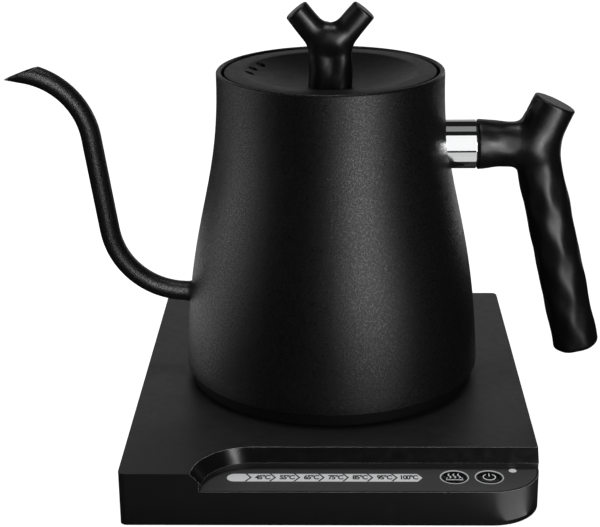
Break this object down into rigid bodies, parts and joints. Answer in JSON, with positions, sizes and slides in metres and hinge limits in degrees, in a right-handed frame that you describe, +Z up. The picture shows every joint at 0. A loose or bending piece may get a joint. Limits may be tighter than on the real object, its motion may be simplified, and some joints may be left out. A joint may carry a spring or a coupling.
{
  "type": "electric kettle",
  "caption": "Electric gooseneck kettle with a lift-off lid and a branch-shaped handle, lifting and turning on a rectangular power base with a temperature strip.",
  "frame": {"origin": "on the table plane, on the axis of the round connector that the jug turns on", "axes": "+X to the handle, -X to the spout, -Y to the control panel, +Z up"},
  "size_m": [0.2868, 0.2205, 0.2096],
  "materials": {
    "housing_black": "fine satin moulded plastic",
    "panel_grey": "satin plastic, a little lighter than the housing",
    "rubber_black": "matt",
    "zinc_steel": "zinc-plated",
    "strip_grey": "frosted light guide",
    "ring_white": "frosted light guide",
    "button_black": "polished",
    "plunger_ivory": "moulded",
    "board_green": "solder mask",
    "led_white": "moulded",
    "switch_grey": "moulded",
    "relay_blue": "moulded",
    "winding_brown": "taped winding",
    "film_yellow": "moulded",
    "connector_black": "heat-proof moulding",
    "contact_brass": "bare",
    "black_coat": "fine-textured powder coat",
    "plain_steel": "brushed",
    "spreader_aluminium": "rolled",
    "element_steel": "drawn tube",
    "seal_silicone": "matt",
    "gasket_grey": "matt",
    "chrome": "polished",
    "grip_black": "satin, hand-carved facets"
  },
  "bodies": {
    "power_base": {"top_housing": "housing_black", "bottom_cover": "housing_black", "rubber_feet": "rubber_black", "cover_screws": "zinc_steel", "control_panel": "panel_grey", "temperature_strip": "strip_grey", "button_rings": "ring_white", "indicator_lens": "ring_white", "control_board": "board_green", "board_leds": "led_white", "tact_switches": "switch_grey", "power_board": "board_green", "relay": "relay_blue", "transformer": "winding_brown", "filter_capacitor": "film_yellow", "cord_gland": "rubber_black", "connector_base": "connector_black", "ring_contact": "contact_brass", "centre_pin": "contact_brass"},
    "warm_key": {"warm_button": "button_black", "warm_plunger": "plunger_ivory"},
    "power_key": {"power_button": "button_black", "power_plunger": "plunger_ivory"},
    "carousel": {"contact_carousel": "connector_black"},
    "jug": {"jug_body": "black_coat", "jug_skirt": "housing_black", "skirt_screws": "zinc_steel", "heating_plate": "plain_steel", "heat_spreader": "spreader_aluminium", "heating_element": "element_steel", "thermal_sensor": "plain_steel", "sensor_seal": "seal_silicone", "jug_socket": "connector_black", "socket_contacts": "contact_brass", "spout": "black_coat", "handle_bracket": "plain_steel", "handle_stud": "zinc_steel", "handle_ferrule": "chrome", "ferrule_seal": "rubber_black", "handle_grip": "grip_black"},
    "lid": {"lid_cover": "black_coat", "lid_skirt": "housing_black", "lid_gasket": "gasket_grey", "lid_plate": "plain_steel", "knob": "grip_black", "knob_screw": "zinc_steel", "knob_washer": "zinc_steel"}
  },
  "joints": [
    {"name": "jug_swivel", "type": "hinge", "parent": "power_base", "child": "carousel", "pos_m": [0, 0, 0], "axis": [0, 0, 1], "continuous": true},
    {"name": "jug_lift", "type": "slide", "parent": "carousel", "child": "jug", "axis": [0, 0, 1], "range_m": [0, 0.12]},
    {"name": "lid_lift", "type": "slide", "parent": "jug", "child": "lid", "axis": [0, 0, 1], "range_m": [0, 0.08]},
    {"name": "warm_button_press", "type": "slide", "parent": "power_base", "child": "warm_key", "axis": [0, 0, -1], "range_m": [0, 0.0008], "stiffness_N_per_m": 900},
    {"name": "power_button_press", "type": "slide", "parent": "power_base", "child": "power_key", "axis": [0, 0, -1], "range_m": [0, 0.0008], "stiffness_N_per_m": 900}
  ]
}
